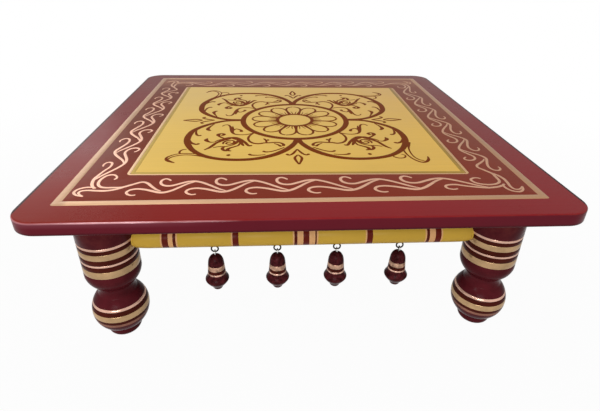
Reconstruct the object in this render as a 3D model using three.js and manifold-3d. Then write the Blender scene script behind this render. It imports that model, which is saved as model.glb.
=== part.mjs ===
// Low square table on four turned legs. Turned rails join the legs under the board,
// and small solid wooden bells hang from the rails on pairs of steel screw eyes.
// Millimetres, +Z up. The origin is on the floor under the middle of the board,
// and the front is towards -Y.

import * as THREE from 'three';
import { mergeVertices } from 'three/addons/utils/BufferGeometryUtils.js';
import Module from 'manifold-3d';

const wasm = await Module();
wasm.setup();

// Board
const boardWidth = 618;
const boardDepth = 612;
const boardThickness = 15.6;
const boardCornerRadius = 30;
const boardEdgeRound = 1.8;

// Height of the board's top above the floor
const tableHeight = 205.4;

// Legs, from the floor up, with their axes this far apart both ways
const legSpacing = 476.8;
const footRadius = 21;
const footRound = 7.5;
const footHeight = 11.7;
const ballRadius = 34.9;
const neckRadius = 23.4;
const neckCove = 1.4;
const neckLength = 13.8;
const shoulderLength = 14.2;
const shoulderRound = 3;
const columnRadius = 33.6;
const dowelRadius = 10;
const dowelLength = 8;

// Rails, with their axes this far below the board's underside
const railDrop = 48.4;
const railRadius = 13.4;
const railEndRadius = 11.2;
const railTaperLength = 20;
const tenonSpacing = 2;

// Bells: the outline runs from the crown to the tip, as shares of lip radius and length
const bellLipRadius = 14.9;
const bellLength = 51.6;
const bellOutlineShares = [
  [0.17, 0],
  [0.4, 0.031],
  [0.55, 0.083],
  [0.66, 0.176],
  [0.75, 0.494],
  [0.8, 0.574],
  [1, 0.678],
  [0.98, 0.71],
  [0.6, 0.841],
  [0.46, 0.926],
  [0.17, 1],
];

// Bell places along the free length of a rail, spaced by eye as the maker did
const bellPlaceShares = [-0.273, -0.085, 0.097, 0.292];

// Screw eyes: a larger ring under each rail, and a smaller one in each bell's crown
const railEyeRingRadius = 4.2;
const bellEyeRingRadius = 3;
const eyeWireRadius = 0.8;
const railEyeNeckLength = 0.7;
const eyeShankRadius = 0.9;
const eyeShankLength = 9;
const eyeTipLength = 2;

// Clearance between fitted pieces, overrun of cuts, and the weld of coincident points
const fitGap = 0.3;
const cutOverrun = 1;
const weldGap = 0.001;

// Counts of flat sides and steps on the rounded forms
const cornerSteps = 8;
const edgeSteps = 3;
const legSides = 24;
const ballSteps = 9;
const coveSteps = 4;
const roundSteps = 3;
const railSides = 16;
const taperSteps = 3;
const bellSides = 14;
const eyeRingSteps = 12;
const eyeWireSides = 5;
const eyeShankSides = 6;
const dowelSides = 16;
const boreSides = 20;

// Places that follow from the sizes
const quarterTurn = Math.PI / 2;
const boardUnderside = tableHeight - boardThickness;
const legTop = boardUnderside - fitGap;
const ballCentre = footHeight + Math.sqrt(ballRadius ** 2 - footRadius ** 2);
const neckBottom = ballCentre + Math.sqrt(ballRadius ** 2 - neckRadius ** 2);
const neckTop = neckBottom + neckLength;
const columnBottom = neckTop + shoulderLength;
const railHeight = boardUnderside - railDrop;
const tenonEnd = railEndRadius + tenonSpacing;
const railEyeRadius = railEyeRingRadius + eyeWireRadius;
const bellEyeRadius = bellEyeRingRadius + eyeWireRadius;
const railEyeCentre = railHeight - railRadius - railEyeNeckLength - railEyeRadius;
const pivotHeight = railEyeCentre - railEyeRingRadius;
const bellEyeCentre = pivotHeight + 2 * eyeWireRadius + fitGap - bellEyeRingRadius;
const bellTop = bellEyeCentre - bellEyeRadius - fitGap;

// Finishes
const maroonLacquer = { color: 0x7d2a35, roughness: 0.3, metalness: 0 };
const darkLacquer = { color: 0x571b23, roughness: 0.25, metalness: 0 };
const yellowLacquer = { color: 0xc39a45, roughness: 0.3, metalness: 0 };
const dullSteel = { color: 0x6d6b68, roughness: 0.4, metalness: 1 };

function named(name, geometry, finish) {
  const mesh = new THREE.Mesh(geometry, new THREE.MeshStandardMaterial(finish));
  mesh.name = name;
  return mesh;
}

// A welded solid for cutting and joining; triangles that a pole flattens are dropped
function toSolid(geometry) {
  const bare = geometry.clone();
  bare.deleteAttribute('normal');
  bare.deleteAttribute('uv');
  const welded = mergeVertices(bare, weldGap);
  const corners = welded.getIndex().array;
  const triangles = [];
  for (let i = 0; i < corners.length; i += 3) {
    const [a, b, c] = corners.slice(i, i + 3);
    if (a !== b && b !== c && c !== a) triangles.push(a, b, c);
  }
  return new wasm.Manifold(new wasm.Mesh({
    numProp: 3,
    vertProperties: new Float32Array(welded.getAttribute('position').array),
    triVerts: new Uint32Array(triangles),
  }));
}

function toGeometry(solid) {
  const mesh = solid.getMesh();
  const geometry = new THREE.BufferGeometry();
  geometry.setAttribute('position', new THREE.BufferAttribute(mesh.vertProperties, mesh.numProp));
  geometry.setIndex(new THREE.BufferAttribute(mesh.triVerts, 1));
  geometry.computeVertexNormals();
  return geometry;
}

// A turned solid on the Z axis from [radius, height] points that run upwards
function turned(outline, sides) {
  const points = outline.map(([radius, height]) => new THREE.Vector2(radius, height));
  return new THREE.LatheGeometry(points, sides).rotateX(quarterTurn);
}

// A round bar along Z between two heights
function roundBar(radius, low, high, sides) {
  return turned([[0, low], [radius, low], [radius, high], [0, high]], sides);
}

// Points of a sphere's outline between two heights
function ballOutline(radius, centre, low, high, steps) {
  const from = Math.asin((low - centre) / radius);
  const to = Math.asin((high - centre) / radius);
  return Array.from({ length: steps + 1 }, (_, i) => {
    const angle = from + (to - from) * i / steps;
    return [radius * Math.cos(angle), centre + radius * Math.sin(angle)];
  });
}

function makeBoard() {
  const x = boardWidth / 2;
  const y = boardDepth / 2;
  const r = boardCornerRadius;
  const outline = new THREE.Shape();
  outline.moveTo(r - x, -y);
  outline.absarc(x - r, r - y, r, -quarterTurn, 0);
  outline.absarc(x - r, y - r, r, 0, quarterTurn);
  outline.absarc(r - x, y - r, r, quarterTurn, 2 * quarterTurn);
  outline.absarc(r - x, r - y, r, 2 * quarterTurn, 3 * quarterTurn);
  const plate = new THREE.ExtrudeGeometry(outline, {
    depth: boardThickness - 2 * boardEdgeRound,
    steps: 1,
    curveSegments: cornerSteps,
    bevelThickness: boardEdgeRound,
    bevelSize: boardEdgeRound,
    bevelOffset: -boardEdgeRound,
    bevelSegments: edgeSteps,
  });
  plate.translate(0, 0, boardUnderside + boardEdgeRound);

  let solid = toSolid(plate);
  const mortiseTop = legTop + dowelLength + fitGap;
  const mortise = roundBar(dowelRadius + fitGap, boardUnderside - cutOverrun, mortiseTop, dowelSides);
  for (const sideX of [-1, 1]) {
    for (const sideY of [-1, 1]) {
      const place = [sideX * legSpacing / 2, sideY * legSpacing / 2, 0];
      solid = solid.subtract(toSolid(mortise).translate(...place));
    }
  }
  return toGeometry(solid);
}

function legOutline() {
  const outline = [[0, 0]];
  for (let i = 0; i <= roundSteps; i += 1) {
    const angle = quarterTurn * i / roundSteps;
    outline.push([
      footRadius - footRound * (1 - Math.sin(angle)),
      footRound * (1 - Math.cos(angle)),
    ]);
  }
  outline.push(...ballOutline(ballRadius, ballCentre, footHeight, neckBottom, ballSteps));
  for (let i = 1; i <= coveSteps; i += 1) {
    const share = i / coveSteps;
    const cove = neckCove * Math.sin(Math.PI * share);
    outline.push([neckRadius - cove, neckBottom + neckLength * share]);
  }
  const roundShare = shoulderRound / Math.hypot(shoulderLength, columnRadius - neckRadius);
  outline.push(
    [columnRadius - (columnRadius - neckRadius) * roundShare, columnBottom - shoulderLength * roundShare],
    [columnRadius, columnBottom + shoulderRound],
    [columnRadius, legTop],
    [dowelRadius, legTop],
    [dowelRadius, legTop + dowelLength],
    [0, legTop + dowelLength],
  );
  return outline;
}

// A leg stands on its own axis; the two rail bores open towards the middle of the table
function makeLeg(towardsX, towardsY) {
  const bore = roundBar(railEndRadius + fitGap, tenonEnd - fitGap, columnRadius + cutOverrun, boreSides);
  const alongX = bore.clone().rotateY(towardsX * quarterTurn).translate(0, 0, railHeight);
  const alongY = bore.clone().rotateX(-towardsY * quarterTurn).translate(0, 0, railHeight);
  const leg = toSolid(turned(legOutline(), legSides));
  return toGeometry(leg.subtract(toSolid(alongX)).subtract(toSolid(alongY)));
}

// A rail lies along X with its middle at the origin; its ends taper into the legs
function makeRail(places) {
  const freeEnd = legSpacing / 2 - columnRadius;
  const end = legSpacing / 2 - tenonEnd;
  const half = [[railEndRadius, end]];
  for (let i = 0; i <= taperSteps; i += 1) {
    const angle = quarterTurn * i / taperSteps;
    half.push([
      railEndRadius + (railRadius - railEndRadius) * Math.sin(angle),
      freeEnd - railTaperLength * (1 - Math.cos(angle)),
    ]);
  }
  const mirrored = half.map(([radius, along]) => [radius, -along]);
  const outline = [[0, -end], ...mirrored, ...half.reverse(), [0, end]];
  let solid = toSolid(turned(outline, railSides).rotateY(quarterTurn));
  const hole = roundBar(
    eyeShankRadius + fitGap,
    -railRadius - cutOverrun,
    eyeShankLength + fitGap - railRadius,
    eyeShankSides,
  );
  for (const place of places) {
    solid = solid.subtract(toSolid(hole).translate(place, 0, 0));
  }
  return toGeometry(solid);
}

// A screw eye in the XZ plane with its ring at the origin and its shank pointing up
function makeEye(ringRadius, neckLength) {
  const ring = new THREE.TorusGeometry(ringRadius, eyeWireRadius, eyeWireSides, eyeRingSteps);
  ring.rotateX(quarterTurn);
  const shankTop = ringRadius + eyeWireRadius + neckLength + eyeShankLength;
  const shank = turned([
    [0, ringRadius],
    [eyeShankRadius, ringRadius],
    [eyeShankRadius, shankTop - eyeTipLength],
    [0, shankTop],
  ], eyeShankSides);
  return toGeometry(toSolid(ring).add(toSolid(shank)));
}

// The lower eye hangs across the upper one, with its shank down in the bell's crown
function makeBellEye() {
  return makeEye(bellEyeRingRadius, fitGap).rotateX(Math.PI).rotateZ(quarterTurn);
}

function makeBell() {
  const outline = bellOutlineShares.map(([radiusShare, lengthShare]) => [
    radiusShare * bellLipRadius,
    -lengthShare * bellLength,
  ]);
  outline.reverse();
  const closed = [[0, -bellLength], ...outline, [0, 0]];
  const hole = roundBar(
    eyeShankRadius + fitGap,
    -eyeShankLength - fitGap,
    cutOverrun,
    eyeShankSides,
  );
  return toGeometry(toSolid(turned(closed, bellSides)).subtract(toSolid(hole)));
}

const table = new THREE.Group();
table.add(named('board', makeBoard(), maroonLacquer));

const legPlaces = {
  leg_front_left: [-1, -1],
  leg_front_right: [1, -1],
  leg_back_right: [1, 1],
  leg_back_left: [-1, 1],
};
for (const [name, [sideX, sideY]] of Object.entries(legPlaces)) {
  const leg = named(name, makeLeg(-sideX, -sideY), darkLacquer);
  leg.position.set(sideX * legSpacing / 2, sideY * legSpacing / 2, 0);
  table.add(leg);
}

// Each side of the table is built as the front one and turned about the middle
const places = bellPlaceShares.map((share) => share * (legSpacing - 2 * columnRadius));
const setBack = legSpacing / 2;
['front', 'right', 'back', 'left'].forEach((side, turn) => {
  const group = new THREE.Group();
  group.rotation.z = turn * quarterTurn;

  const rail = named(`rail_${side}`, makeRail(places), yellowLacquer);
  rail.position.set(0, -setBack, railHeight);
  group.add(rail);

  places.forEach((place, i) => {
    const railEyeForm = makeEye(railEyeRingRadius, railEyeNeckLength);
    const railEye = named(`rail_eye_${side}_${i + 1}`, railEyeForm, dullSteel);
    railEye.position.set(place, -setBack, railEyeCentre);
    const bell = named(`bell_${side}_${i + 1}`, makeBell(), darkLacquer);
    bell.position.set(place, -setBack, bellTop);
    const bellEye = named(`bell_eye_${side}_${i + 1}`, makeBellEye(), dullSteel);
    bellEye.position.set(place, -setBack, bellEyeCentre);
    group.add(railEye, bellEye, bell);
  });
  table.add(group);
});

export default table;
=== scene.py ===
# Low square table in lacquered wood: a painted board on four turned legs, turned rails
# between the legs, and small wooden bells that hang from the rails on screw eyes.
# Metres, +Z up, the front towards -Y. Drawn ornament is given in millimetres.
import math

import bmesh
import bpy
from mathutils import Matrix, Vector


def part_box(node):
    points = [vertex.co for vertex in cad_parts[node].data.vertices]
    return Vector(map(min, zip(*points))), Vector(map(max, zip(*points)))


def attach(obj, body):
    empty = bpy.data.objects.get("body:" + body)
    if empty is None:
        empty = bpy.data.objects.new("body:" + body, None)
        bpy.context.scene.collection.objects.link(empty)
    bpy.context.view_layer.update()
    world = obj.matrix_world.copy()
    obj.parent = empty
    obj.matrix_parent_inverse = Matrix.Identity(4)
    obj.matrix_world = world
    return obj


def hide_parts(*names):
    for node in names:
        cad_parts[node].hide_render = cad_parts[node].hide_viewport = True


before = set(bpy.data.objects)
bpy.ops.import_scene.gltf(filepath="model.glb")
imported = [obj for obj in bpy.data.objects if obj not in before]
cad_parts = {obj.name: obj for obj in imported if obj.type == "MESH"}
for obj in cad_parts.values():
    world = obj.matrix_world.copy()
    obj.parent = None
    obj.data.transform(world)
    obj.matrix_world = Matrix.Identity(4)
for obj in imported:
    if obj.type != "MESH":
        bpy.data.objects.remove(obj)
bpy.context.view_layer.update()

MM = 0.001
BOARD_LOW, BOARD_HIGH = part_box("board")
TOP = BOARD_HIGH.z
UNDERSIDE = BOARD_LOW.z
HALF_X, HALF_Y = BOARD_HIGH.x, BOARD_HIGH.y
LEG_REACH = (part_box("leg_front_right")[0].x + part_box("leg_front_right")[1].x) / 2
SIDES = ("front", "right", "back", "left")
# Sides of a turned or bent piece, and the angle from which an edge stays sharp
LEG_SIDES, RAIL_SIDES, BELL_SIDES, WIRE_SIDES = 72, 48, 40, 10
LEG_CREASE, BELL_CREASE, WIRE_CREASE = 40, 50, 60
ROUND_STEPS = 8
BELLS_A_SIDE = 4


def in_scene(name, data):
    made = bpy.data.objects.new(name, data)
    bpy.context.scene.collection.objects.link(made)
    return made


# ------------------------ camera and lamps

CAMERA_PLACE = (-0.0379, -0.6818, 0.4415)
CAMERA_PITCH, CAMERA_YAW, CAMERA_ROLL = 0.48369, 0.06724, 0.01858
CAMERA_SENSOR, CAMERA_LENS, CAMERA_SHIFT, CAMERA_NEAR = 36, 26.082, -0.0325, 0.02
# Each lamp: name, place, what it points at, width and height, power
LAMPS = (
    ("lamp_over", (-0.5, -0.1, 2.3), (0, 0, 0.1), (1.6, 1.4), 19),
    ("lamp_front", (-0.4, -2.2, 0.9), (0, 0, 0.12), (1.0, 0.5), 20),
    ("lamp_key", (-0.99, -1.3, 1.75), (-0.1, -0.2, 0.15), (0.45, 0.45), 9),
    ("lamp_sheen", (-1.48, 1.85, 1.05), (-0.2, 0, 0.2), (0.9, 0.5), 4.5),
)


def make_camera():
    pitch, yaw, roll = CAMERA_PITCH, CAMERA_YAW, CAMERA_ROLL
    flat = math.cos(pitch)
    forward = Vector((math.sin(yaw) * flat, math.cos(yaw) * flat, -math.sin(pitch)))
    level = Vector((math.cos(yaw), -math.sin(yaw), 0))
    down = forward.cross(level)
    right = math.cos(roll) * level - math.sin(roll) * down
    down = math.sin(roll) * level + math.cos(roll) * down
    data = bpy.data.cameras.new("camera")
    data.sensor_width = CAMERA_SENSOR
    data.lens = CAMERA_LENS
    data.shift_y = CAMERA_SHIFT
    data.clip_start = CAMERA_NEAR
    camera = in_scene("camera", data)
    turn = Matrix((right, -down, -forward)).transposed().to_4x4()
    camera.matrix_world = Matrix.Translation(CAMERA_PLACE) @ turn
    bpy.context.scene.camera = camera


def soft_lamp(name, place, aim, size, power):
    data = bpy.data.lights.new(name, "AREA")
    data.shape = "RECTANGLE"
    data.size, data.size_y = size
    data.energy = power
    lamp = in_scene(name, data)
    lamp.location = place
    lamp.rotation_euler = (Vector(aim) - Vector(place)).to_track_quat("-Z", "Y").to_euler()


# ------------------------ shader nodes

def fill(socket, value):
    """Sets a socket, or links it where the value is another node's output."""
    if isinstance(value, bpy.types.NodeSocket):
        socket.id_data.links.new(value, socket)
    else:
        socket.default_value = value


def add(tree, kind, inputs=None, **settings):
    """A node with its settings; inputs maps a socket name or number to what fills it."""
    made = tree.nodes.new(kind)
    for key, value in settings.items():
        setattr(made, key, value)
    for key, value in (inputs or {}).items():
        fill(made.inputs[key], value)
    return made


def then(kind, inputs, **settings):
    """Adds a node to the tree that its first linked input is in, and gives the node's outputs."""
    sockets = [value for value in inputs.values() if isinstance(value, bpy.types.NodeSocket)]
    return add(sockets[0].id_data, kind, inputs, **settings).outputs


def maths(operation, *values):
    return then("ShaderNodeMath", dict(enumerate(values)), operation=operation)[0]


def mixed(factor, first, second, blend="MIX"):
    inputs = {0: factor, 6: first, 7: second}
    return then("ShaderNodeMix", inputs, data_type="RGBA", blend_type=blend)[2]


def place_in(tree):
    """Where the point is on the table: the pieces stand at the origin, so this is their frame."""
    return add(tree, "ShaderNodeTexCoord").outputs["Object"]


def parts_of(vector):
    return then("ShaderNodeSeparateXYZ", {0: vector})


def ranged(value, low, high, start=0.0, end=1.0):
    """From start to end while the value goes from low to high, and level beyond them."""
    return then("ShaderNodeMapRange", {0: value, 1: low, 2: high, 3: start, 4: end})[0]


def noise(place, scale, detail, roughness=0.5):
    inputs = {"Vector": place, "Scale": scale, "Detail": detail, "Roughness": roughness}
    return then("ShaderNodeTexNoise", inputs)[0]


def swayed(value, clouds_and_reflections, amount):
    """A value moved up and down by a noise."""
    return maths("MULTIPLY_ADD", maths("SUBTRACT", clouds_and_reflections, 0.5), amount, value)


def shaded_along(place, axis, first, second, low, high):
    """A colour that changes from first to second along an axis."""
    return mixed(ranged(parts_of(place)[axis], low, high), first, second)


def node_group(kind, name, inputs, outputs):
    """A node group with its sockets, and the sockets of its own input and output node."""
    tree = bpy.data.node_groups.new(name, kind)
    for way, sockets in (("OUTPUT", outputs), ("INPUT", inputs)):
        for label, socket in sockets:
            tree.interface.new_socket(label, in_out=way, socket_type="NodeSocket" + socket)
    given = tree.nodes.new("NodeGroupInput").outputs
    return tree, given, tree.nodes.new("NodeGroupOutput").inputs


# Each noise: scale, detail and, where it isn't 0.5, roughness. The clouds' scale is an input
CLOUD_NOISE, GRAIN_NOISE, SPECK_NOISE = (4.0, 0.55), (1.0, 6.0, 0.6), (900.0, 2.0)
CLOUD_DULLS, SPECK_DULLS, GRAIN_RELIEF = 0.16, 0.05, 0.5
# The curvature that counts as an arris, and the patches that the wear is broken into
ARRIS_CURVE = (0.52, 0.6)
WEAR_NOISE, WEAR_PATCHES = (45.0, 5.0, 0.7), (0.45, 0.62)
# The hand's wobble along a painted ring
WOBBLE_NOISE, WOBBLE = (70.0, 2.0), 0.6 * MM


def hand_lacquer_group():
    """Lacquer laid on by hand: cloudy colour, which where it is strong stands for painted
    reflections, faint grain under it, and an uneven shine.
    """
    tree, given, out = node_group(
        "ShaderNodeTree", "hand_lacquer",
        [("Colour", "Color"), ("Clouds", "Float"), ("Cloud scale", "Float"), ("Grain", "Float"),
         ("Grain stretch", "Vector"), ("Roughness", "Float")],
        [("Colour", "Color"), ("Roughness", "Float"), ("Height", "Float")],
    )
    place = place_in(tree)
    clouds_and_reflections = noise(place, given["Cloud scale"], *CLOUD_NOISE)
    stretch = {0: place, 1: given["Grain stretch"]}
    stretched = then("ShaderNodeVectorMath", stretch, operation="MULTIPLY")[0]
    grain = noise(stretched, *GRAIN_NOISE)
    specks = noise(place, *SPECK_NOISE)
    lift = swayed(1.0, clouds_and_reflections, given["Clouds"])
    lift = swayed(lift, grain, given["Grain"])
    shade = then("ShaderNodeCombineColor", {0: lift, 1: lift, 2: lift})[0]
    fill(out["Colour"], mixed(1.0, given["Colour"], shade, "MULTIPLY"))
    dull = swayed(given["Roughness"], clouds_and_reflections, CLOUD_DULLS)
    fill(out["Roughness"], swayed(dull, specks, SPECK_DULLS))
    fill(out["Height"], maths("MULTIPLY_ADD", grain, GRAIN_RELIEF, clouds_and_reflections))
    return tree


def edge_wear_group():
    """Arrises where the lacquer has thinned: the worn colour laid over in patches."""
    tree, given, out = node_group(
        "ShaderNodeTree", "edge_wear",
        [("Colour", "Color"), ("Worn colour", "Color"), ("Amount", "Float")], [("Colour", "Color")],
    )
    ridge = add(tree, "ShaderNodeNewGeometry").outputs["Pointiness"]
    sharp = ranged(ridge, *ARRIS_CURVE)
    patches = ranged(noise(place_in(tree), *WEAR_NOISE), *WEAR_PATCHES)
    mask = maths("MULTIPLY", maths("MULTIPLY", sharp, patches), given["Amount"])
    fill(out["Colour"], mixed(mask, given["Colour"], given["Worn colour"]))
    return tree


LACQUER = hand_lacquer_group()
WEAR = edge_wear_group()
MAROON = (0.202, 0.011, 0.013, 1)
BACK_MAROON = (0.128, 0.010, 0.006, 1)
# Painted shade, on the strips along the top's edges and at the foot of the edge faces
PAINTED_SHADE_MAROON = (0.016, 0.003, 0.004, 1)
# The edge faces, painted darker than the top as shade
SHADED_EDGE_MAROON = (0.118, 0.010, 0.018, 1)
LIT_EDGE_MAROON = (0.172, 0.034, 0.048, 1)
CORNER_ORANGE = (0.192, 0.006, 0.0, 1)
# A painted highlight: the pink of the top arris where it catches the light
PAINTED_HIGHLIGHT_PINK = (0.85, 0.42, 0.45, 1)
DARK_MAROON = (0.085, 0.010, 0.014, 1)
BELL_MAROON = (0.062, 0.010, 0.012, 1)
DARK_BROWN = (0.066, 0.010, 0.006, 1)
GOLD = (0.49, 0.315, 0.165, 1)
BELL_GOLD = (0.47, 0.28, 0.19, 1)
# The lowest leg ring, painted darker as shade where it faces down
SHADED_FOOT_PINK = (0.30, 0.13, 0.09, 1)
CREAM_GOLD = (0.72, 0.44, 0.33, 1)
RAIL_YELLOW = (0.62, 0.38, 0.052, 1)
RAIL_DARK = (0.125, 0.012, 0.006, 1)
RAIL_LINE = (0.090, 0.010, 0.004, 1)
RAIL_CREAM = (0.76, 0.41, 0.18, 1)
BRUSH_MAROON = (0.150, 0.028, 0.001, 1)
BARE_WOOD = (0.42, 0.20, 0.10, 1)
DULL_STEEL, BRIGHT_STEEL = (0.024, 0.021, 0.020, 1), (0.65, 0.64, 0.61, 1)
WHITE, BLACK = (1, 1, 1, 1), (0, 0, 0, 1)
GOLD_METALLIC = 0.35
COAT_ROUGHNESS = 0.09
# How the grain is stretched: few changes a metre along it, many across
ALONG_X = (6.0, 260.0, 60.0)
ALONG_Y = (260.0, 6.0, 60.0)
ALONG_Z = (60.0, 60.0, 260.0)
PANEL_GRAIN = (5.0, 330.0, 60.0)
NO_GRAIN = (300, 300, 300)


def finish(name, colour, metallic=0.0, roughness=0.3, clouds_and_reflections=0.25, grain=0.12, stretch=ALONG_X,
           bump=0.00015, specular=0.12, wear=0.0, coat=None, cloud_scale=9.0):
    """A lacquer; colour and metallic are a value, or a function of the tree that gives a socket."""
    material = bpy.data.materials.new(name)
    material.use_nodes = True
    tree = material.node_tree
    shader = tree.nodes["Principled BSDF"]
    laid = add(tree, "ShaderNodeGroup", {
        "Colour": colour(tree) if callable(colour) else colour, "Clouds": clouds_and_reflections,
        "Cloud scale": cloud_scale, "Grain": grain, "Grain stretch": stretch,
        "Roughness": roughness,
    }, node_tree=LACQUER).outputs
    result = laid["Colour"]
    if wear:
        inputs = {"Colour": result, "Worn colour": BARE_WOOD, "Amount": wear}
        result = add(tree, "ShaderNodeGroup", inputs, node_tree=WEAR).outputs["Colour"]
    relief = then("ShaderNodeBump", {"Height": laid["Height"], "Distance": bump, "Strength": 1.0})
    fill(shader.inputs["Base Color"], result)
    fill(shader.inputs["Roughness"], laid["Roughness"])
    fill(shader.inputs["Normal"], relief["Normal"])
    fill(shader.inputs["Metallic"], metallic(tree) if callable(metallic) else metallic)
    shader.inputs["Specular IOR Level"].default_value = specular
    if coat:
        fill(shader.inputs["Coat Weight"], coat(tree))
        shader.inputs["Coat Roughness"].default_value = COAT_ROUGHNESS
    return material


def rings_from(*groups):
    """Rings (start, end, colour) in metres, from groups of touching rings: each group gives its
    edges in millimetres with the colours between them."""
    return [(group[i] * MM, group[i + 2] * MM, group[i + 1])
            for group in groups for i in range(0, len(group) - 1, 2)]


def edges_of(rings):
    return sorted({edge for start, end, _ in rings for edge in (start, end)})


def banded(axis, low, high, plain, rings):
    """A colour with rings along one axis, painted with a hand's small wobble."""
    def build(tree):
        place = place_in(tree)
        wobble = noise(place, *WOBBLE_NOISE)
        along = swayed(parts_of(place)[axis], wobble, WOBBLE)
        ramp = add(tree, "ShaderNodeValToRGB", {0: ranged(along, low, high)})
        ramp.color_ramp.interpolation = "CONSTANT"
        stops = [(low, plain)]
        for start, end, colour in rings:
            if stops[-1][0] >= start - 1e-6:
                stops.pop()
            stops += [(start, colour), (end, plain)]
        points = ramp.color_ramp.elements
        while len(points) < len(stops):
            points.new(1.0)
        for point, (at, _) in zip(points, stops):
            point.position = (at - low) / (high - low)
        for point, (_, colour) in zip(points, stops):
            point.color = colour
        return ramp.outputs["Color"]
    return build


def where_gold(axis, low, high, rings):
    """The same rings as a mask: as metallic as gold paint on the gold ones, nothing elsewhere."""
    golds = (GOLD, BELL_GOLD, CREAM_GOLD)
    shown = [(start, end, WHITE if colour in golds else BLACK) for start, end, colour in rings]
    build = banded(axis, low, high, BLACK, shown)
    return lambda tree: maths("MULTIPLY", build(tree), GOLD_METALLIC)


# ------------------------ mesh helpers

def piece(name, points, faces, material, crease=35.0):
    """A closed mesh object at the origin, faces outwards, smooth up to the crease angle."""
    mesh = bpy.data.meshes.new(name)
    mesh.from_pydata(points, [], faces)
    return mesh_piece(name, mesh, material, crease)


def mesh_piece(name, mesh, material, crease=35.0):
    work = bmesh.new()
    work.from_mesh(mesh)
    bmesh.ops.recalc_face_normals(work, faces=work.faces)
    work.to_mesh(mesh)
    work.free()
    mesh.materials.clear()
    mesh.materials.append(material)
    mesh.shade_smooth()
    mesh.set_sharp_from_angle(angle=math.radians(crease))
    mesh.name = name
    return in_scene(name, mesh)


def held(i, count, closed=False):
    """A number kept on a line of count points: round a closed one, within an open one."""
    return i % count if closed else min(max(i, 0), count - 1)


def smooth_line(points, step, closed=False):
    """A smooth line through points (any number of values each), sampled about every step."""
    count = len(points)
    line = []
    for i in range(count if closed else count - 1):
        p = [Vector(points[held(i + k, count, closed)]) for k in (-1, 0, 1, 2)]
        parts = max(2, math.ceil((p[2] - p[1]).length / step))
        for j in range(parts):
            t = j / parts
            line.append(0.5 * (
                2 * p[1] + (p[2] - p[0]) * t
                + (2 * p[0] - 5 * p[1] + 4 * p[2] - p[3]) * t ** 2
                + (3 * p[1] - p[0] - 3 * p[2] + p[3]) * t ** 3
            ))
    if not closed:
        line.append(Vector(points[-1]))
    return line


def tube(count, n, first=0, closed=False):
    """Faces over count loops of n points each; the end loops are capped, or joined if closed."""
    faces = []
    for i in range(count if closed else count - 1):
        low, high = first + i * n, first + (i + 1) % count * n
        for k in range(n):
            m = (k + 1) % n
            faces.append([low + k, low + m, high + m, high + k])
    if not closed:
        faces += [[end + k for k in range(n)] for end in (first, first + (count - 1) * n)]
    return faces


def turned(name, outline, sides, material, place=(0, 0, 0), axis="Z", crease=35.0):
    """A turned solid from [radius, along] points, from one end on the axis to the other."""
    points, rings, faces = [], [], []
    for radius, along in outline:
        around = 1 if radius < 1e-7 else sides
        rings.append((len(points), around))
        for k in range(around):
            a = 2 * math.pi * k / sides
            u, v = radius * math.cos(a), radius * math.sin(a)
            spot = {"X": (along, u, v), "Y": (v, along, u), "Z": (u, v, along)}[axis]
            points.append(Vector(spot) + Vector(place))
    for (low, n), (high, m) in zip(rings, rings[1:]):
        for k in range(sides):
            loop = [low + k % n, low + (k + 1) % n, high + (k + 1) % m, high + k % m]
            loop = list(dict.fromkeys(loop))
            if len(loop) > 2:
                faces.append(loop)
    return piece(name, points, faces, material, crease)


def scored(outline, lines, depth=0.25 * MM, width=0.9 * MM):
    """Cuts a fine V line into a turned outline at each height in lines."""
    def radius_at(along):
        for (r0, a0), (r1, a1) in zip(outline, outline[1:]):
            if min(a0, a1) <= along <= max(a0, a1) and a0 != a1:
                return r0 + (r1 - r0) * (along - a0) / (a1 - a0)
    half = width / 2
    result = [p for p in outline if all(abs(p[1] - line) > half for line in lines)]
    for line in lines:
        result += [(radius_at(line - half), line - half), (radius_at(line) - depth, line),
                   (radius_at(line + half), line + half)]
    return sorted(result, key=lambda p: p[1], reverse=outline[-1][1] <= outline[0][1])


def swept(points, radius, sides, across):
    """Points and faces of a round wire along a line that stays in the plane square to across."""
    around = []
    count = len(points)
    for i, spot in enumerate(points):
        ahead = (points[held(i + 1, count)] - points[held(i - 1, count)]).normalized()
        beside = ahead.cross(across)
        for k in range(sides):
            a = 2 * math.pi * k / sides
            around.append(spot + radius * (math.cos(a) * beside + math.sin(a) * across))
    return around, tube(count, sides)


def quarter_round(steps):
    """Shares (inwards, up) along a quarter circle, from level at the bottom to upright."""
    angles = [math.pi / 2 * k / steps for k in range(steps + 1)]
    return [(1 - math.sin(a), 1 - math.cos(a)) for a in angles]


# A brush stroke's section: share of half width, share of height
BRUSH_SECTION = ((-1.0, 0.0), (-0.62, 0.8), (0.0, 1.0), (0.62, 0.8), (1.0, 0.0))
BRUSH_STEP, BRUSH_HEIGHT, BRUSH_SINK, BRUSH_SLOPE, BRUSH_LEAST = 1.4, 0.22, 0.12, 0.16, 0.02


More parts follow.
